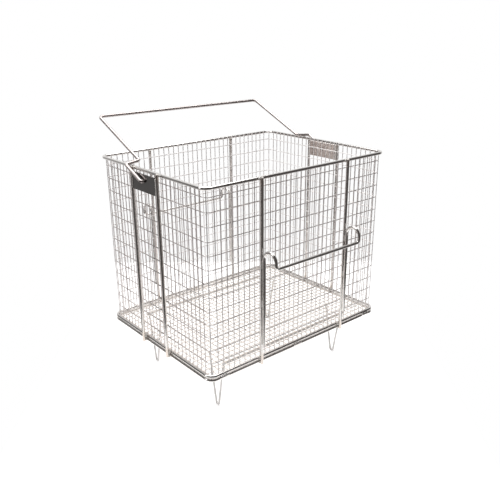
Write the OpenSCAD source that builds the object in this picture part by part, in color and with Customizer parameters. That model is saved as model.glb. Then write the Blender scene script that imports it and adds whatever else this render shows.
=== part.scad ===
// Open-topped welded wire basket with a swinging bail, two fixed lift handles and four wire feet.
// Origin: middle of the footprint, on the surface that the feet stand on. +X right, -Y front, +Z up.

/* [Basket] */
// Width between the centre lines of the rim's two ends
basket_w = 462; // [440:1:480]
// Depth between the centre lines of the rim's front and back
basket_d = 358; // [340:1:370]
// Height from the upper bottom ring to the rim, centre to centre
basket_h = 355.6; // [340:0.1:381]
// Corner radius of the rim and the rings, on their centre line
corner_r = 16; // [14:0.5:20]
// Diameter of the frame rod
rod_d = 6.35; // [6:0.05:6.5]
// Height of the upper bottom ring above the floor that the basket stands on
ring_z = 117; // [110:1:130]
// Step from the upper to the lower bottom ring, centre to centre
ring_step = 7.75; // [7.5:0.05:8.5]

/* [Wire mesh] */
// Diameter of the mesh wire
wire_d = 1.8; // [1.6:0.1:2]
// Pitch of the upright wires and of the floor's square mesh
cell_w = 12.7; // [12.5:0.1:13]
// Pitch of the level wires in the walls
cell_h = 26.25; // [25.4:0.05:26.25]
// Number of level wires in each wall
row_count = 13; // [6:1:13]
// Drop from the rim's centre to the first level wire
first_row_drop = 16.7; // [14:0.1:17]

/* [Upright rods] */
// Distance of the front and back rods from the middle
long_rod_x = 112; // [100:1:125]
// Distance of the side rods from the middle
side_rod_y = 44.45; // [42:0.05:48]
// How far the rods' tops stand above the rim's centre
rod_rise = 2; // [0:0.5:3]

/* [Bail] */
// Drop from the rim's centre to the pivot
pivot_drop = 18; // [18:0.5:20]
// Lean of the bail from upright when it rests on the rim, in degrees
bail_lean = 66; // [60:1:66]
// Distance from the pivot to the outside of the shoulder
shoulder_low = 58.5; // [58.5:0.5:66]
// Further distance to the inside of the shoulder
shoulder_slope = 6; // [4:0.5:8]
// Distance from the pivot to the middle of the grip bar
bail_reach = 229.5; // [180:0.5:235]
// How far the shoulder brings each arm inwards
shoulder_in = 33; // [30:0.5:36]
// Height of the pivot plate
plate_h = 33; // [30:1:40]
// Thickness of the pivot plate
plate_t = 3; // [2:0.5:3]

/* [Lift handles] */
// Radius of the arch over the top of each handle leg
arch_r = 16; // [14:1:20]
// Drop from the rim's centre to the spring of the arch
arch_drop = 148; // [120:1:160]
// Drop from the rim's centre to the grip bar
grip_drop = 159; // [158:1:190]
// Drop from the rim's centre to the lower end of the legs
leg_drop = 322; // [260:1:330]

/* [Feet] */
// Floor wire that carries the feet, counted outwards from the middle
foot_wire = 14; // [11:1:15]
// Distance of each foot's tip from the middle, front to back
foot_y = 114; // [100:1:118]
// Diameter of the foot wire
foot_d = 4; // [3.5:0.5:5]
// Bend radius at the tip of each foot, on the wire's centre line
foot_tip_r = 4.5; // [4:0.5:6]
// Splay of each leg of the foot from upright, in degrees
foot_splay = 10; // [6:1:12]

/* [Hidden] */

$fn = 32;

// Hairline left at each weld, so that every wire and rod stays a solid of its own
weld_gap = 0.02;
// Running clearance of the bail's pin in its hole
pin_gap = 0.075;
// Clearance between the bail's arm and the side rods that it swings past
arm_gap = 0.6;

half_w = basket_w / 2;
half_d = basket_d / 2;
rod_r = rod_d / 2;
wire_r = wire_d / 2;
foot_r = foot_d / 2;
rim_z = ring_z + basket_h;
lower_ring_z = ring_z - ring_step;
straight_x = half_w - corner_r;
straight_y = half_d - corner_r;

// Wall mesh: the uprights touch the frame's inner face, the level wires run inside them
upright_inset = rod_r + weld_gap + wire_r;
layer_step = wire_d + weld_gap;
level_inset = upright_inset + layer_step;
// Where the uprights start above the lower ring's centre, and how far they pass the rim's centre
upright_start = 1.25;
upright_over = 2.5;
upright_bottom = lower_ring_z + upright_start;
upright_top = rim_z + upright_over;
first_row_z = rim_z - first_row_drop;

// Floor mesh: wires front to back on the foot bars, wires side to side on top of them
floor_low_z = lower_ring_z + rod_r + weld_gap + wire_r;
floor_high_z = floor_low_z + layer_step;
floor_end_inset = upright_inset + wire_r + weld_gap;
// The outermost floor wires stop short of the rounded corners
floor_edge_extra = 4;

// Rods outside the frame, and the handle legs outside the rods
rod_out = rod_d + weld_gap;
leg_out = 2 * rod_out;

// Bail
side_rod_x = half_w + rod_out;
pivot_z = rim_z - pivot_drop;
arm_x = side_rod_x + rod_d + arm_gap;
inner_arm_x = arm_x - shoulder_in;
// How far past the rim's centre line each pin runs
pin_past = 0.5;
pin_end_x = half_w - pin_past;
pin_bend_r = 5;
shoulder_bend_r = 6;
top_bend_r = 9;
shoulder_high = shoulder_low + shoulder_slope;
// A bend is this much thicker in radius than the straights, and laps over their ends by this length
bend_swell = 0.05;
bend_lap = 0.3;
// The plate's top edge is this far below the rim rod
plate_below = 2.3;
plate_top = rim_z - rod_r - plate_below;
plate_half_y = side_rod_y - rod_r - weld_gap;

// Lift handles
elbow_r = 7;
grip_z = rim_z - grip_drop;
grip_half = long_rod_x - elbow_r;

// Feet: both legs end beside a floor wire, and the outer leg also stands against the foot bar
foot_gap = 0.05;
foot_x = (foot_wire - 0.5) * cell_w - wire_r - foot_gap - foot_r;
foot_centre_z = foot_tip_r + foot_r + bend_swell;
// The legs end this far below the middle of the upper floor wires
foot_drop = 1.4;
foot_length = floor_high_z - foot_drop - foot_centre_z;
// Outward place of the outer leg's centre line at the height of the bar
bar_rise = lower_ring_z - foot_centre_z;
leg_at_bar = foot_tip_r * cos(foot_splay) + (bar_rise + foot_tip_r * sin(foot_splay)) * tan(foot_splay);
foot_bar_y = foot_y + leg_at_bar + (rod_r + foot_r + foot_gap) / cos(foot_splay);
// How far the bar passes the middle of each foot
bar_past = 3;
foot_bar_half = foot_x + bar_past;

steel = [0.80, 0.80, 0.82];
dark_steel = [0.66, 0.66, 0.69];

// Middles of the cells' wires that fit on a straight stretch, symmetric about zero
function wire_places(half) =
  let (count = floor(half / cell_w + 0.5))
  [for (k = [-count:count - 1]) (k + 0.5) * cell_w];

// The next wire place beyond the straight stretch
function edge_place(half) = (floor(half / cell_w + 0.5) + 0.5) * cell_w;

function row_z(k) = first_row_z - k * cell_h;

// Direction from one point of a flat route to the next, and its heading in degrees
function heading(a, b) = atan2(b[1] - a[1], b[0] - a[0]);
function turn_at(p, i) =
  let (raw = heading(p[i], p[i + 1]) - heading(p[i - 1], p[i]))
  raw > 180 ? raw - 360 : raw < -180 ? raw + 360 : raw;
// Length that the bend at point i takes off each of its two straights
function bend_trim(p, bend_r, i) =
  i == 0 || i == len(p) - 1 ? 0 : bend_r[i] * tan(abs(turn_at(p, i)) / 2);

// Round rod along X, centred at the given place
module rod_x(half, y, z, d) {
  translate([-half, y, z])
    rotate([0, 90, 0])
      cylinder(d = d, h = 2 * half);
}

// Round rod along Y, centred at the given place
module rod_y(half, x, z, d) {
  translate([x, -half, z])
    rotate([-90, 0, 0])
      cylinder(d = d, h = 2 * half);
}

// Round rod along Z
module rod_z(x, y, low, high, d) {
  translate([x, y, low])
    cylinder(d = d, h = high - low);
}

// Part of a round rod bent about Z, from one angle on by the swept angle
module rod_arc(bend_r, from, swept, d) {
  rotate([0, 0, from])
    rotate_extrude(angle = swept)
      translate([bend_r, 0])
        circle(d = d);
}

// Round rod along a flat route in the XY plane, with each corner bent to its own radius
module bent_rod(p, bend_r, d) {
  last = len(p) - 1;
  for (i = [0:last - 1]) {
    way = heading(p[i], p[i + 1]);
    from = bend_trim(p, bend_r, i);
    long = norm(p[i + 1] - p[i]) - from - bend_trim(p, bend_r, i + 1);
    translate([p[i][0], p[i][1], 0])
      rotate([0, 0, way])
        translate([from, 0, 0])
          rotate([0, 90, 0])
            cylinder(d = d, h = long);
  }
  for (i = [1:last - 1]) {
    turn = turn_at(p, i);
    side = sign(turn);
    way = heading(p[i - 1], p[i]);
    back = bend_trim(p, bend_r, i);
    lap = bend_lap / bend_r[i] * 180 / PI;
    translate([p[i][0], p[i][1], 0])
      rotate([0, 0, way])
        translate([-back, side * bend_r[i], 0])
          rod_arc(bend_r[i], -90 * side + min(turn, 0) - lap, abs(turn) + 2 * lap, d + 2 * bend_swell);
  }
}

// Closed rounded rectangle of frame rod
module frame_ring(z) {
  for (side = [-1, 1]) {
    rod_x(straight_x, side * half_d, z, rod_d);
    rod_y(straight_y, side * half_w, z, rod_d);
  }
  for (q = [0:3]) {
    corner_x = (q == 0 || q == 3) ? straight_x : -straight_x;
    corner_y = (q < 2) ? straight_y : -straight_y;
    translate([corner_x, corner_y, z])
      rod_arc(corner_r, 90 * q, 90, rod_d);
  }
}

module top_rim() {
  color(steel) frame_ring(rim_z);
}

module bottom_ring_upper() {
  color(steel) frame_ring(ring_z);
}

module bottom_ring_lower() {
  color(steel) frame_ring(lower_ring_z);
}

// Mesh of a front or back wall; side is -1 at the front and 1 at the back
module long_wall_mesh(side) {
  color(steel) {
    for (x = wire_places(straight_x))
      rod_z(x, side * (half_d - upright_inset), upright_bottom, upright_top, wire_d);
    for (k = [0:row_count - 1])
      rod_x(straight_x, side * (half_d - level_inset), row_z(k), wire_d);
  }
}

// Mesh of an end wall; side is -1 at the left and 1 at the right
module end_wall_mesh(side) {
  color(steel) {
    for (y = wire_places(straight_y))
      rod_z(side * (half_w - upright_inset), y, upright_bottom, upright_top, wire_d);
    for (k = [0:row_count - 1])
      rod_y(straight_y, side * (half_w - level_inset), row_z(k), wire_d);
  }
}

// Mesh where it wraps round a corner: one upright, and the bends of the level wires
module corner_mesh(side_x, side_y) {
  from = side_x > 0 ? (side_y > 0 ? 0 : 270) : (side_y > 0 ? 90 : 180);
  reach = (corner_r - upright_inset) * cos(45);
  color(steel)
    translate([side_x * straight_x, side_y * straight_y, 0]) {
      rod_z(side_x * reach, side_y * reach, upright_bottom, upright_top, wire_d);
      for (k = [0:row_count - 1])
        translate([0, 0, row_z(k)])
          rod_arc(corner_r - level_inset, from, 90, wire_d);
    }
}

module mesh_floor() {
  edge_x = edge_place(straight_x);
  edge_y = edge_place(straight_y);
  color(steel) {
    for (x = wire_places(straight_x))
      rod_y(half_d - floor_end_inset, x, floor_low_z, wire_d);
    for (y = wire_places(straight_y))
      rod_x(half_w - floor_end_inset, y, floor_high_z, wire_d);
    for (side = [-1, 1]) {
      rod_y(straight_y + floor_edge_extra, side * edge_x, floor_low_z, wire_d);
      rod_x(straight_x + floor_edge_extra, side * edge_y, floor_high_z, wire_d);
    }
  }
}

// Upright rod welded to the outside of the rim and of both bottom rings
module frame_rod(x, y) {
  color(steel) rod_z(x, y, lower_ring_z - rod_r, rim_z + rod_rise, rod_d);
}

module long_rod(side_x, side_y) {
  frame_rod(side_x * long_rod_x, side_y * (half_d + rod_out));
}

module side_rod(side_x, side_y) {
  frame_rod(side_x * side_rod_x, side_y * side_rod_y);
}

// Plate between two side rods, with the hole that the bail's pin turns in
module pivot_plate(side) {
  color(dark_steel)
    difference() {
      translate([side * side_rod_x - plate_t / 2, -plate_half_y, plate_top - plate_h])
        cube([plate_t, 2 * plate_half_y, plate_h]);
      translate([side * side_rod_x - plate_t, 0, pivot_z])
        rotate([0, 90, 0])
          cylinder(r = rod_r + pin_gap, h = 2 * plate_t);
    }
}

// One bent rod: pin, arm, shoulder over the rim, arm and grip bar, and the same back down
module bail() {
  right = [
    [pin_end_x, 0], [arm_x, 0], [arm_x, shoulder_low],
    [inner_arm_x, shoulder_high], [inner_arm_x, bail_reach]
  ];
  left = [for (i = [len(right) - 1:-1:0]) [-right[i][0], right[i][1]]];
  bends = [0, pin_bend_r, shoulder_bend_r, shoulder_bend_r, top_bend_r];
  bends_back = [for (i = [len(bends) - 1:-1:0]) bends[i]];
  color(steel)
    translate([0, 0, pivot_z])
      rotate([90 - bail_lean, 0, 0])
        bent_rod(concat(right, left), concat(bends, bends_back), rod_d);
}

// Fixed handle: each leg runs up its rod, arches outwards and turns in to the grip bar
module lift_handle(side) {
  leg_y = half_d + leg_out;
  arch_z = rim_z - arch_drop;
  grip_y = leg_y + 2 * arch_r;
  color(steel)
    mirror([0, side < 0 ? 1 : 0, 0]) {
      for (hand = [-1, 1]) {
        rod_z(hand * long_rod_x, leg_y, rim_z - leg_drop, arch_z, rod_d);
        translate([hand * long_rod_x, leg_y + arch_r, arch_z])
          rotate([90, 0, 90])
            rod_arc(arch_r, 0, 180, rod_d);
        rod_z(hand * long_rod_x, grip_y, grip_z + elbow_r, arch_z, rod_d);
        translate([hand * grip_half, grip_y, grip_z + elbow_r])
          rotate([90, 0, 0])
            rod_arc(elbow_r, hand > 0 ? 270 : 180, 90, rod_d);
      }
      rod_x(grip_half, grip_y, grip_z, rod_d);
    }
}

// Round bar under the floor mesh, level with the lower ring, that two feet stand against
module foot_bar(side) {
  color(steel) rod_x(foot_bar_half, side * foot_bar_y, lower_ring_z, rod_d);
}

// V of wire with a round tip that the basket stands on; its legs spread to the front and back
module wire_foot(side_x, side_y) {
  leg = (foot_length + foot_tip_r * sin(foot_splay)) / cos(foot_splay);
  lap = bend_lap / foot_tip_r * 180 / PI;
  color(steel)
    translate([side_x * foot_x, side_y * foot_y, foot_centre_z])
      rotate([0, 0, 90]) {
        rotate([90, 0, 0])
          rod_arc(foot_tip_r, 180 + foot_splay - lap, 180 - 2 * (foot_splay - lap), foot_d + 2 * bend_swell);
        for (hand = [-1, 1])
          rotate([0, hand * foot_splay, 0])
            translate([hand * foot_tip_r, 0, 0])
              cylinder(d = foot_d, h = leg);
      }
}

top_rim();
bottom_ring_upper();
bottom_ring_lower();
long_wall_mesh(-1);  // mesh_front
long_wall_mesh(1);  // mesh_back
end_wall_mesh(-1);  // mesh_left
end_wall_mesh(1);  // mesh_right
corner_mesh(-1, -1);  // mesh_corner_front_left
corner_mesh(1, -1);  // mesh_corner_front_right
corner_mesh(-1, 1);  // mesh_corner_back_left
corner_mesh(1, 1);  // mesh_corner_back_right
mesh_floor();
long_rod(-1, -1);  // front_rod_left
long_rod(1, -1);  // front_rod_right
long_rod(-1, 1);  // back_rod_left
long_rod(1, 1);  // back_rod_right
side_rod(-1, -1);  // left_rod_front
side_rod(-1, 1);  // left_rod_back
side_rod(1, -1);  // right_rod_front
side_rod(1, 1);  // right_rod_back
pivot_plate(-1);  // left_pivot_plate
pivot_plate(1);  // right_pivot_plate
bail();
lift_handle(-1);  // front_lift_handle
lift_handle(1);  // back_lift_handle
foot_bar(-1);  // front_foot_bar
foot_bar(1);  // back_foot_bar
wire_foot(-1, -1);  // foot_front_left
wire_foot(1, -1);  // foot_front_right
wire_foot(-1, 1);  // foot_back_left
wire_foot(1, 1);  // foot_back_right
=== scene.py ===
"""Looks of a welded wire basket: polished rod, satin mesh wire, plates, weld beads, studio and camera."""

import math

import bpy
import numpy as np
from mathutils import Matrix, Vector


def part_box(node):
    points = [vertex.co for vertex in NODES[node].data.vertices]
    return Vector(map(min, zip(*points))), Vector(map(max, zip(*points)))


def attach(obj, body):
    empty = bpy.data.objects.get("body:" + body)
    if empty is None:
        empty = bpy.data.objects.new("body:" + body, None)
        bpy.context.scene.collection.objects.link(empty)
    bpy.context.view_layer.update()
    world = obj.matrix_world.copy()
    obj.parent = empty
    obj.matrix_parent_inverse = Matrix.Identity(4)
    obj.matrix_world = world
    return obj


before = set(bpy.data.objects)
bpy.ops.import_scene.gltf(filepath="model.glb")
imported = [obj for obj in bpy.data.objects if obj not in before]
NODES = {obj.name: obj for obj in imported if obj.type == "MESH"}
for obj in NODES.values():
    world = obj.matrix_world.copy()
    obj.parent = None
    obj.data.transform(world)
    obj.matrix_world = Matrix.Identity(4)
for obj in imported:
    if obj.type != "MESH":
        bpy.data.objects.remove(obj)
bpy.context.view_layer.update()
rng = np.random.default_rng(11)

MM = 0.001


# ---------------------------------------------------------------- measures, most taken from the CAD nodes
def span(node):
    """Lowest and highest corner of a CAD node, as arrays in metres."""
    low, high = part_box(node)
    return np.array(low), np.array(high)


def middle(node):
    low, high = span(node)
    return (low + high) / 2


rim_low, rim_high = span("top_rim")
ROD_D = rim_high[2] - rim_low[2]
ROD_R = ROD_D / 2
RIM_Z = middle("top_rim")[2]
RING_ZS = [middle("bottom_ring_upper")[2], middle("bottom_ring_lower")[2]]
HALF_W = rim_high[0] - ROD_R
HALF_D = rim_high[1] - ROD_R
LAYER_GAP = 0.02 * MM
MESH_DEEP = span("mesh_front")[1][1] - span("mesh_front")[0][1]
WIRE_D = (MESH_DEEP - LAYER_GAP) / 2  # uprights outside, level wires inside
SIDE_ROD_Y = abs(middle("left_rod_front")[1])
CELL_W = 12.7 * MM
CELL_H = 26.25 * MM
FIRST_ROW_DROP = 16.7 * MM
ROWS = 13


# ---------------------------------------------------------------- materials
MIX_A, MIX_B, MIX_RESULT = 6, 7, 2  # the colour sockets of a Mix node
SPOTS_PER_METRE = 140.0
RELIEF_DEEP = 0.2 * MM
FULL_TINT = 0.35  # the share of a tint's reach that has all of its colour


def node_of(tree, kind, **values):
    n = tree.nodes.new(kind)
    for key, value in values.items():
        if key in n.inputs:
            n.inputs[key].default_value = value
        else:
            setattr(n, key, value)
    return n


def fade(tree, value, start, stop, first=1.0, last=0.0):
    """A Map Range node that goes from first to last as value goes from start to stop."""
    n = node_of(tree, "ShaderNodeMapRange")
    n.inputs["From Min"].default_value = start
    n.inputs["From Max"].default_value = stop
    n.inputs["To Min"].default_value = first
    n.inputs["To Max"].default_value = last
    tree.links.new(value, n.inputs["Value"])
    return n


def blend(tree, factor, colour, hue):
    """colour with hue mixed in by factor."""
    mix = node_of(tree, "ShaderNodeMix", data_type="RGBA")
    mix.inputs[MIX_B].default_value = (*hue, 1)
    tree.links.new(factor, mix.inputs["Factor"])
    tree.links.new(colour, mix.inputs[MIX_A])
    return mix.outputs[MIX_RESULT]


def above(tree, value, limit):
    """1 where value is more than limit, else 0."""
    n = node_of(tree, "ShaderNodeMath", operation="GREATER_THAN")
    n.inputs[1].default_value = limit
    tree.links.new(value, n.inputs[0])
    return n.outputs[0]


def object_parts(tree):
    """X, Y and Z in the object's own frame."""
    parts = node_of(tree, "ShaderNodeSeparateXYZ")
    tree.links.new(node_of(tree, "ShaderNodeTexCoord").outputs["Object"], parts.inputs[0])
    return parts.outputs


def steel(
    name, light, deep, rough, rough_spread, streak, blotch=6.0, bump=0.05, spots=0.0, tint=None, metal=1.0
):
    """Stainless steel. light and deep are its two close shades, streak is the noise scale along X, Y and Z
    per metre, spots says how far dried drops dull it, and metal below 1 makes it paler and more matt.
    tint is a list of (height, reach, colour, share) for the heat colour by welds."""
    mat = bpy.data.materials.new(name)
    mat.use_nodes = True
    t = mat.node_tree
    t.nodes.clear()
    out = node_of(t, "ShaderNodeOutputMaterial")
    bsdf = node_of(t, "ShaderNodeBsdfPrincipled")
    bsdf.inputs["Metallic"].default_value = metal
    t.links.new(bsdf.outputs[0], out.inputs[0])
    place = node_of(t, "ShaderNodeTexCoord").outputs["Object"]

    big = node_of(t, "ShaderNodeTexNoise", Scale=blotch, Detail=4.0, Roughness=0.6)
    t.links.new(place, big.inputs["Vector"])
    shade = node_of(t, "ShaderNodeValToRGB")
    shade.color_ramp.elements[0].position = 0.36
    shade.color_ramp.elements[0].color = (*deep, 1)
    shade.color_ramp.elements[1].position = 0.62
    shade.color_ramp.elements[1].color = (*light, 1)
    t.links.new(big.outputs["Fac"], shade.inputs["Fac"])
    colour = shade.outputs["Color"]

    stretch = node_of(t, "ShaderNodeMapping")
    stretch.inputs["Scale"].default_value = streak
    t.links.new(place, stretch.inputs["Vector"])
    lines = node_of(t, "ShaderNodeTexNoise", Scale=1.0, Detail=5.0, Roughness=0.7)
    t.links.new(stretch.outputs["Vector"], lines.inputs["Vector"])

    spread = fade(t, lines.outputs["Fac"], 0.3, 0.7, rough - rough_spread, rough + rough_spread)
    dull = spread.outputs["Result"]
    if spots:
        cells = node_of(t, "ShaderNodeTexVoronoi", Scale=SPOTS_PER_METRE)
        t.links.new(place, cells.inputs["Vector"])
        ring = fade(t, cells.outputs["Distance"], 0.12, 0.3, spots)
        add = node_of(t, "ShaderNodeMath", operation="ADD")
        t.links.new(dull, add.inputs[0])
        t.links.new(ring.outputs["Result"], add.inputs[1])
        dull = add.outputs[0]
    t.links.new(dull, bsdf.inputs["Roughness"])

    if tint:
        up = object_parts(t)["Z"]
        for height, reach, hue, share in tint:
            off = node_of(t, "ShaderNodeMath", operation="SUBTRACT")
            off.inputs[1].default_value = height
            t.links.new(up, off.inputs[0])
            size = node_of(t, "ShaderNodeMath", operation="ABSOLUTE")
            t.links.new(off.outputs[0], size.inputs[0])
            near = fade(t, size.outputs[0], FULL_TINT * reach, reach, share)
            near.interpolation_type = "SMOOTHSTEP"
            colour = blend(t, near.outputs["Result"], colour, hue)
    t.links.new(colour, bsdf.inputs["Base Color"])

    relief = node_of(t, "ShaderNodeBump")
    relief.inputs["Strength"].default_value = bump
    relief.inputs["Distance"].default_value = RELIEF_DEEP
    t.links.new(lines.outputs["Fac"], relief.inputs["Height"])
    t.links.new(relief.outputs["Normal"], bsdf.inputs["Normal"])
    return mat


POLISH_LIGHT, POLISH_DEEP = (0.80, 0.78, 0.76), (0.68, 0.655, 0.635)
STRAW = (0.62, 0.50, 0.40)
weld_heat = [(RIM_Z, 0.016, STRAW, 0.35), (sum(RING_ZS) / 2, 0.022, STRAW, 0.45)]
FINE, LONG = 2600.0, 60.0
ROD_GRAIN = (700.0, 700.0, 700.0)
WIRE_GRAIN = (900.0, 900.0, 900.0)
PLATE_GRAIN = (300.0, 300.0, 3000.0)
WELD_GRAIN = (1500.0, 1500.0, 1500.0)
# Painted shade: the darker look of the level wires, mixed into the inner wire layer of the front and left
# walls
LEVEL_WIRE_HUE = (0.28, 0.25, 0.24)
# Painted dark reflection of the front upright rod on the left wall's lower level wires: its colour and where
# it fades out
NEAR_BLACK = (0.05, 0.04, 0.035)
RUNG_Y_FADE = (-10 * MM, 50 * MM)  # all of the dark hue at the first place, none at the second
RUNG_Z_FADE = (300 * MM, 430 * MM)


def stain(mat, factor, hue):
    """Mixes hue into a finished material's colour by factor; here it lays painted shade on wires."""
    t = mat.node_tree
    colour_in = t.nodes["Principled BSDF"].inputs["Base Color"]
    t.links.new(blend(t, factor, colour_in.links[0].from_socket, hue), colour_in)


def shade_level_wires(mat, axis, inside, hue, share):
    """Paints shade on the inner layer of a wall, which is its level wires: a darker hue mixed into their
    colour.
    """
    t = mat.node_tree
    part = node_of(t, "ShaderNodeMath", operation="MULTIPLY")
    part.inputs[1].default_value = share
    t.links.new(above(t, object_parts(t)[axis], inside), part.inputs[0])
    stain(mat, part.outputs[0], hue)


def darken_level_wires(mat, inside_x, y_range, z_range, hue, share):
    """Paints a dark reflection of the front upright rod on the left wall's level wires between its upright
    rods, darkest low down and by the front rod.
    """
    t = mat.node_tree
    parts = object_parts(t)
    masks = [above(t, parts["X"], inside_x), above(t, parts["Y"], -SIDE_ROD_Y)]
    for axis, (full, none) in (("Y", y_range), ("Z", z_range)):
        masks.append(fade(t, parts[axis], full, none).outputs["Result"])
    total = None
    for mask in masks:
        times = node_of(t, "ShaderNodeMath", operation="MULTIPLY")
        times.inputs[0].default_value = share
        if total is not None:
            t.links.new(total, times.inputs[0])
        t.links.new(mask, times.inputs[1])
        total = times.outputs[0]
    stain(mat, total, hue)


rod_along_z = steel(
    "polished_rod_z", POLISH_LIGHT, POLISH_DEEP, 0.14, 0.05, (FINE, FINE, LONG), spots=0.05, tint=weld_heat
)
# Painted light: a paler, rougher copy of the polished rod for the back upright rods, for their lighter look
rod_inside = steel(
    "polished_rod_back_painted_light", (0.92, 0.89, 0.86), (0.82, 0.78, 0.74), 0.36, 0.05, (FINE, FINE, LONG),
    spots=0.05, tint=weld_heat,
)
rod_all_ways = steel("polished_rod", POLISH_LIGHT, POLISH_DEEP, 0.16, 0.04, ROD_GRAIN, spots=0.05)
# The bail gets a darker, browner copy of the rod steel
bail_steel = steel(
    "darker_bail_rod", (0.52, 0.475, 0.46), (0.40, 0.36, 0.35), 0.36, 0.05, ROD_GRAIN, blotch=11.0, spots=0.05
)
wire_front = steel(
    "satin_wire_front", (0.99, 0.95, 0.935), (0.91, 0.86, 0.845), 0.45, 0.08, WIRE_GRAIN,
    blotch=9.0, bump=0.12, spots=0.04, metal=0.55,
)
# Painted shade on the front wall's level wires
shade_level_wires(wire_front, "Y", span("mesh_front")[0][1] + WIRE_D, LEVEL_WIRE_HUE, 0.75)
wire_left = steel(
    "satin_wire_left", (0.97, 0.92, 0.905), (0.86, 0.80, 0.785), 0.45, 0.08, WIRE_GRAIN,
    blotch=9.0, bump=0.12, spots=0.04, metal=0.55,
)
LEFT_LAYER_X = span("mesh_left")[0][0] + WIRE_D
# Painted shade on the left wall's level wires
shade_level_wires(wire_left, "X", LEFT_LAYER_X, LEVEL_WIRE_HUE, 0.55)
# Painted dark reflection of the front rod on the left wall's lower level wires
darken_level_wires(wire_left, LEFT_LAYER_X, RUNG_Y_FADE, RUNG_Z_FADE, NEAR_BLACK, 0.95)
# Painted light: a paler, more matt copy of the wall wire for the back, right and corner walls, for their
# lighter look
wire_pale = steel(
    "painted_light_wall_wire", (0.99, 0.965, 0.955), (0.92, 0.88, 0.87), 0.55, 0.08, WIRE_GRAIN,
    blotch=9.0, bump=0.12, spots=0.04, metal=0.25,
)
floor_satin = steel(
    "satin_floor_wire", (0.90, 0.84, 0.79), (0.74, 0.68, 0.63), 0.42, 0.08, WIRE_GRAIN,
    blotch=9.0, bump=0.12, spots=0.06, metal=0.7,
)
# Painted light and shade: both pivot plates are the same polished steel; the left gets a dark copy for its
# dark reflection, the right a pale, browner, rougher copy for its lighter look
mirror_plate = steel(
    "mirror_plate", (0.22, 0.21, 0.207), (0.165, 0.158, 0.155), 0.07, 0.03, PLATE_GRAIN,
    blotch=14.0, bump=0.04, spots=0.04,
)
stained_plate = steel(
    "stained_plate", (0.88, 0.80, 0.755), (0.66, 0.575, 0.535), 0.50, 0.06, PLATE_GRAIN,
    blotch=22.0, bump=0.08, spots=0.08,
)
# Painted shade: the feet get a darker grey copy of the wire steel, standing in for the darker reflection
# they show low down
foot_steel = steel(
    "foot_wire_painted_dark", (0.66, 0.64, 0.63), (0.47, 0.455, 0.445), 0.36, 0.08, WIRE_GRAIN,
    blotch=24.0, bump=0.12, spots=0.05,
)
weld_steel = steel(
    "pickled_weld", (0.95, 0.94, 0.92), (0.78, 0.74, 0.69), 0.42, 0.1, WELD_GRAIN,
    blotch=160.0, bump=0.5, metal=0.55,
)

# The finish of each node, by how its name starts; the first that fits is used
FINISH = {
    "top_rim": rod_all_ways,
    "bottom_ring": rod_all_ways,
    "mesh_floor": floor_satin,
    # Back, right and corner walls take the paler wire copy: painted light, and on the corners a painted
    # highlight
    "mesh_back": wire_pale,
    "mesh_right": wire_pale,
    "mesh_corner": wire_pale,
    "mesh_left": wire_left,
    "mesh_front": wire_front,
    "bail": bail_steel,
    "front_lift": rod_all_ways,
    "back_lift": rod_all_ways,
    "back_rod": rod_inside,
    "left_pivot": mirror_plate,
    "right_pivot": stained_plate,
    "front_foot": foot_steel,
    "back_foot": foot_steel,
    "foot": foot_steel,
}


def finish_of(name):
    """The material of a node. The upright rods of the front and the sides aren't in FINISH."""
    for start, mat in FINISH.items():
        if name.startswith(start):
            return mat
    return rod_along_z


for name, obj in NODES.items():
    obj.data.materials.clear()
    obj.data.materials.append(finish_of(name))


# ---------------------------------------------------------------- pieces made here
def piece(name, points, faces, mat, body):
    mesh = bpy.data.meshes.new(name)
    mesh.from_pydata([tuple(p) for p in points], [], faces)
    mesh.materials.append(mat)
    mesh.polygons.foreach_set("use_smooth", [True] * len(mesh.polygons))
    mesh.update()
    obj = bpy.data.objects.new(name, mesh)
    bpy.context.scene.collection.objects.link(obj)
    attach(obj, body)


class Pile:
    """Points and faces of many small solids that are one piece."""

    def __init__(self):
        self.points, self.faces, self.count = [], [], 0

    def add(self, points, faces):
        self.points.append(points)
        self.faces += [tuple(i + self.count for i in f) for f in faces]
        self.count += len(points)

    def make(self, name, mat, body):
        piece(name, np.concatenate(self.points), self.faces, mat, body)


def lens(around=8):
    """A small closed round lump of unit size: two poles and three rings."""
    points, faces = [(0, 0, 1)], []
    heights = [0.62, 0.0, -0.62]
    turns = [2 * math.pi * k / around for k in range(around)]
    for z in heights:
        r = math.sqrt(1 - z * z)
        points += [(r * math.cos(turn), r * math.sin(turn), z) for turn in turns]
    points.append((0, 0, -1))
    last = len(points) - 1
    for k in range(around):
        n = (k + 1) % around
        faces.append((0, 1 + k, 1 + n))
        for ring in range(len(heights) - 1):
            a, b = 1 + ring * around, 1 + (ring + 1) * around
            faces.append((a + k, b + k, b + n, a + n))
        a = 1 + (len(heights) - 1) * around
        faces.append((a + k, last, a + n))
    return np.array(points), faces


LENS_POINTS, LENS_FACES = lens()


def nugget(pile, centre, radii):
    """A wire crossing's weld: a flattened lump with a little unevenness of its own."""
    size = np.array(radii) * (1 + 0.12 * rng.uniform(-1, 1, 3))
    pile.add(LENS_POINTS * size + np.array(centre), LENS_FACES)


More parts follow.
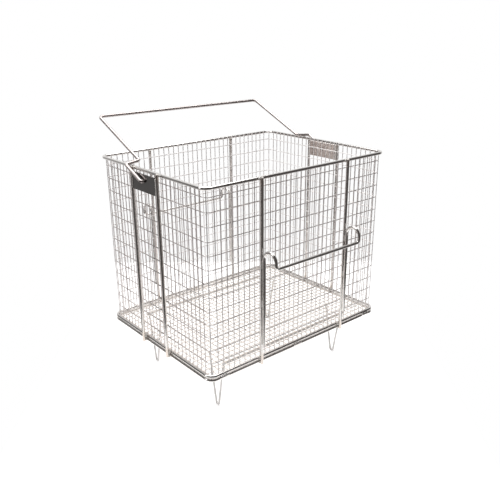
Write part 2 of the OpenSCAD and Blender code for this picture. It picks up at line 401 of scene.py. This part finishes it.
def bead(pile, path, radius, around=12, ripple=0.16, step=0.7 * MM):
    """A weld bead laid along a short path: a closed tube with overlapping ripples, rounded at both ends."""
    path = np.array(path, float)
    lengths = np.concatenate([[0], np.cumsum(np.linalg.norm(np.diff(path, axis=0), axis=1))])
    total = lengths[-1]
    steps = max(6, int(total / (step / 3)))
    s = np.linspace(0, total, steps)
    line = np.stack([np.interp(s, lengths, path[:, k]) for k in range(3)], 1)
    ahead = np.gradient(line, axis=0)
    ahead /= np.linalg.norm(ahead, axis=1)[:, None]
    side = np.cross(ahead, [0.31, 0.47, 0.83])
    side /= np.linalg.norm(side, axis=1)[:, None]
    up = np.cross(ahead, side)
    ends = np.clip(np.minimum(s, total - s) / radius, 0, 1)
    swell = np.sqrt(1 - (1 - ends) ** 2) * 0.9 + 0.1
    wave = 1 + ripple * (np.abs(np.sin(math.pi * s / step)) - 0.5)
    drift = 1 + 0.1 * np.interp(s, np.linspace(0, total, 5), rng.uniform(-1, 1, 5))
    r = radius * swell * wave * drift
    angles = np.arange(around) * 2 * math.pi / around
    rings = (
        line[:, None, :]
        + (side[:, None, :] * np.cos(angles)[None, :, None] + up[:, None, :] * np.sin(angles)[None, :, None])
        * r[:, None, None]
    )
    points = np.concatenate([rings.reshape(-1, 3), line[:1], line[-1:]])
    first, last = len(points) - 2, len(points) - 1
    faces = []
    for i in range(steps - 1):
        for k in range(around):
            n = (k + 1) % around
            a, b = i * around, (i + 1) * around
            faces.append((a + k, a + n, b + n, b + k))
    for k in range(around):
        n = (k + 1) % around
        faces.append((first, n, k))
        faces.append((last, (steps - 1) * around + k, (steps - 1) * around + n))
    pile.add(points, faces)


def places(half):
    """Middles of the upright wires on one straight stretch, symmetric about zero."""
    count = int(math.floor(half / CELL_W + 0.5))
    return [(k + 0.5) * CELL_W for k in range(-count, count)]


# Resistance welds where the wall wires cross, and where the uprights meet the rim and the rings
ROW_ZS = [RIM_Z - FIRST_ROW_DROP - k * CELL_H for k in range(ROWS)]
FRAME_ZS = [RIM_Z] + RING_ZS
FRAME_BEAD, PLATE_BEAD, LEG_BEAD, FOOT_BEAD, TIE_BEAD = 1.75 * MM, 1.2 * MM, 1.15 * MM, 0.9 * MM, 3.2 * MM
LUMP, FLAT = 1.25 * MM, 0.95 * MM
for name, sign in (("front", -1), ("back", 1)):
    pile = Pile()
    low, high = span("mesh_" + name)
    inner = min(abs(low[1]), abs(high[1])) + WIRE_D
    outer = max(abs(low[1]), abs(high[1]))
    for x in places((high[0] - low[0]) / 2):
        for z in ROW_ZS:
            nugget(pile, (x, sign * inner, z), (LUMP, FLAT, LUMP))
        for z in FRAME_ZS:
            nugget(pile, (x, sign * outer, z), (0.8 * LUMP, 0.7 * FLAT, 1.2 * LUMP))
    pile.make("wire_welds_" + name, finish_of("mesh_" + name), "basket")
for name, sign in (("left", -1), ("right", 1)):
    pile = Pile()
    low, high = span("mesh_" + name)
    inner = min(abs(low[0]), abs(high[0])) + WIRE_D
    outer = max(abs(low[0]), abs(high[0]))
    for y in places((high[1] - low[1]) / 2):
        for z in ROW_ZS:
            nugget(pile, (sign * inner, y, z), (FLAT, LUMP, LUMP))
        for z in FRAME_ZS:
            nugget(pile, (sign * outer, y, z), (0.7 * FLAT, 0.8 * LUMP, 1.2 * LUMP))
    pile.make("wire_welds_" + name, finish_of("mesh_" + name), "basket")

pile = Pile()
low, high = span("mesh_floor")
cross_z = (low[2] + high[2]) / 2
straight_x = span("mesh_front")[1][0]
straight_y = span("mesh_left")[1][1]
for x in places(straight_x):
    for y in places(straight_y):
        nugget(pile, (x, y, cross_z), (LUMP, LUMP, FLAT))
pile.make("wire_welds_floor", floor_satin, "basket")

# Fillets at both sides of each upright rod, where it crosses the rim and the two rings
pile = Pile()
for name in NODES:
    if "_rod_" not in name:
        continue
    x, y, _ = middle(name)
    along_x = name.startswith(("front", "back"))
    inward = -np.sign(y) if along_x else -np.sign(x)
    for z in FRAME_ZS:
        for hand in (-1, 1):
            half = (2.6 + 0.5 * rng.uniform(-1, 1)) * MM
            depth = 2.1 * MM * inward
            across = hand * (ROD_R + 0.25 * MM)
            bow = 0.9 * MM * inward
            if along_x:
                path = [(x + across, y + depth + bow * k * k, z + half * k) for k in (-1, -0.5, 0, 0.5, 1)]
            else:
                path = [(x + depth + bow * k * k, y + across, z + half * k) for k in (-1, -0.5, 0, 0.5, 1)]
            bead(pile, path, FRAME_BEAD)
pile.make("frame_weld_beads", weld_steel, "basket")

# Beads down both edges of each pivot plate, inside and outside
pile = Pile()
for name in ("left_pivot_plate", "right_pivot_plate"):
    low, high = span(name)
    mid = (low + high) / 2
    thick = (high[0] - low[0]) / 2
    for face in (-1, 1):
        for hand, y in ((-1, low[1]), (1, high[1])):
            x = mid[0] + face * (thick + 0.15 * MM)
            edge = y - hand * 0.25 * MM
            bead(pile, [(x, edge, low[2] + 1 * MM), (x, edge, high[2] - 1 * MM)], PLATE_BEAD)
pile.make("plate_weld_beads", weld_steel, "basket")

# Short beads in the valleys between each handle leg and its upright rod
pile = Pile()
for end, sign in (("front", -1), ("back", 1)):
    low, high = span(end + "_lift_handle")
    for hand in ("left", "right"):
        x, y, _ = middle(f"{end}_rod_{hand}")
        beads = ((low[2] + 9 * MM, 14 * MM), (low[2] + 84 * MM, 12 * MM), (high[2] - 30 * MM, 14 * MM))
        for z, long in beads:
            for side in (-1, 1):
                at = (x + side * 1.75 * MM, y + sign * ROD_R)
                bead(pile, [(*at, z - long / 2), (*at, z + long / 2)], LEG_BEAD)
pile.make("handle_weld_beads", weld_steel, "basket")

# Beads that tie the two bottom rings together, at the middle and near the corners of the long sides
pile = Pile()
TIE_XS = (-201 * MM, -12 * MM, 199 * MM)
TIE_LONG = 22 * MM
for sign in (-1, 1):
    for x in TIE_XS:
        half = TIE_LONG / 2 * (1 + 0.1 * rng.uniform(-1, 1))
        y = sign * (HALF_D + 2.4 * MM)
        z = sum(RING_ZS) / 2 - 1.0 * MM
        bead(pile, [(x - half, y, z), (x, y + sign * 0.3 * MM, z), (x + half, y, z)], TIE_BEAD, ripple=0.05)
pile.make("ring_tie_beads", rod_all_ways, "basket")

# Beads where each foot's outer leg meets the bar, and where both its legs meet the floor wire
pile = Pile()
FOOT_R = 2 * MM
for end, sign in (("front", -1), ("back", 1)):
    bar_y, bar_z = middle(end + "_foot_bar")[1:]
    edge = bar_y - sign * ROD_R
    for hand, out in (("left", -1), ("right", 1)):
        foot = f"foot_{end}_{hand}"
        low, high = span(foot)
        x = middle(foot)[0]
        for side in (-1, 1):
            at = (x + side * 1.7 * MM, edge - sign * 0.3 * MM)
            bead(pile, [(*at, bar_z - 2.6 * MM), (*at, bar_z + 2.2 * MM)], LEG_BEAD)
        for y in (low[1] + FOOT_R, high[1] - FOOT_R):
            at = x + out * (FOOT_R + 0.2 * MM)
            z = high[2] - 1.1 * MM
            bead(pile, [(at, y - 2.4 * MM, z), (at, y + 2.4 * MM, z)], FOOT_BEAD)
pile.make("foot_weld_beads", weld_steel, "basket")


# ---------------------------------------------------------------- studio
FLOOR_COLOUR = (0.75, 0.75, 0.75, 1)
FLOOR_GLOW = 0.50
FLOOR_BELOW = 0.1 * MM
TABLE_FRONT = 0.47
TABLE_SIDE = 0.44
TABLE_BACK = 0.60
ROOM_DARK, ROOM_LIGHT = (0.09, 0.082, 0.08, 1), (0.95, 0.95, 0.95, 1)
DARK_UP_TO, LIGHT_FROM = 0.61, 0.82  # 0 is behind the camera's azimuth, 1 ahead of it
OVERHEAD_WATTS, SIDE_WATTS = 52, 16
CAMERA_AZIMUTH, CAMERA_ELEVATION, CAMERA_ROLL = 40.039, 20.286, -0.393
CAMERA_PLACE = (-0.7980, -0.9680, 0.7256)
CAMERA_LENS, CAMERA_SENSOR = 44.09, 36


def emitting_floor():
    """Pale matt table top that glows a little, as a light table does."""
    mat = bpy.data.materials.new("pale_floor")
    mat.use_nodes = True
    bsdf = mat.node_tree.nodes["Principled BSDF"]
    bsdf.inputs["Base Color"].default_value = FLOOR_COLOUR
    bsdf.inputs["Roughness"].default_value = 0.9
    bsdf.inputs["Emission Color"].default_value = (1, 1, 1, 1)
    bsdf.inputs["Emission Strength"].default_value = FLOOR_GLOW
    return mat


az = math.radians(CAMERA_AZIMUTH)
ahead = Vector((math.sin(az), math.cos(az), 0))
aside = Vector((math.cos(az), -math.sin(az), 0))
corners = [
    -ahead * TABLE_FRONT - aside * TABLE_SIDE,
    -ahead * TABLE_FRONT + aside * TABLE_SIDE,
    ahead * TABLE_BACK + aside * TABLE_SIDE,
    ahead * TABLE_BACK - aside * TABLE_SIDE,
]
mesh = bpy.data.meshes.new("studio_floor")
mesh.from_pydata([tuple(c - Vector((0, 0, FLOOR_BELOW))) for c in corners], [], [(0, 1, 2, 3)])
floor = bpy.data.objects.new("studio_floor", mesh)
bpy.context.scene.collection.objects.link(floor)
mesh.materials.append(emitting_floor())

# White behind everything for the camera; for reflections and light, a room that is dark on the camera's side
world = bpy.data.worlds.new("studio")
bpy.context.scene.world = world
world.use_nodes = True
wt = world.node_tree
wt.nodes.clear()
out = node_of(wt, "ShaderNodeOutputWorld")
path_kind = node_of(wt, "ShaderNodeLightPath")
plain = node_of(wt, "ShaderNodeBackground", Color=(1, 1, 1, 1), Strength=1.0)
room = node_of(wt, "ShaderNodeBackground", Strength=1.0)
both = node_of(wt, "ShaderNodeMixShader")
wt.links.new(path_kind.outputs["Is Camera Ray"], both.inputs[0])
wt.links.new(room.outputs[0], both.inputs[1])
wt.links.new(plain.outputs[0], both.inputs[2])
wt.links.new(both.outputs[0], out.inputs[0])
way = node_of(wt, "ShaderNodeTexCoord").outputs["Generated"]
toward = node_of(wt, "ShaderNodeVectorMath", operation="DOT_PRODUCT")
toward.inputs[1].default_value = tuple(ahead)
wt.links.new(way, toward.inputs[0])
ramp = node_of(wt, "ShaderNodeValToRGB")
ramp.color_ramp.elements[0].position = DARK_UP_TO
ramp.color_ramp.elements[0].color = ROOM_DARK
ramp.color_ramp.elements[1].position = LIGHT_FROM
ramp.color_ramp.elements[1].color = ROOM_LIGHT
share = fade(wt, toward.outputs["Value"], -1.0, 1.0, 0.0, 1.0)
wt.links.new(share.outputs["Result"], ramp.inputs["Fac"])
wt.links.new(ramp.outputs["Color"], room.inputs["Color"])


def softbox(name, place, aim, size, power):
    light = bpy.data.lights.new(name, "AREA")
    light.shape = "RECTANGLE"
    light.size, light.size_y = size
    light.energy = power
    lamp = bpy.data.objects.new(name, light)
    lamp.location = place
    lamp.rotation_mode = "QUATERNION"
    lamp.rotation_quaternion = (Vector(aim) - Vector(place)).to_track_quat("-Z", "Y")
    bpy.context.scene.collection.objects.link(lamp)


softbox("overhead", (0.1, 0.3, 2.2), (0, 0, 0.3), (2.2, 1.6), OVERHEAD_WATTS)
softbox("side_left", (-2.4, 0.9, 1.5), (0, 0, 0.3), (1.0, 1.4), SIDE_WATTS)

scene = bpy.context.scene
scene.view_settings.view_transform = "Standard"

camera = bpy.data.objects.new("camera", bpy.data.cameras.new("camera"))
scene.collection.objects.link(camera)
el, roll = math.radians(CAMERA_ELEVATION), math.radians(CAMERA_ROLL)
gaze = Vector((math.sin(az) * math.cos(el), math.cos(az) * math.cos(el), -math.sin(el)))
over = aside.cross(gaze)
right = aside * math.cos(roll) + over * math.sin(roll)
top = over * math.cos(roll) - aside * math.sin(roll)
camera.matrix_world = Matrix.Translation(CAMERA_PLACE) @ Matrix((right, top, -gaze)).transposed().to_4x4()
camera.data.sensor_width = CAMERA_SENSOR
camera.data.lens = CAMERA_LENS
scene.camera = camera
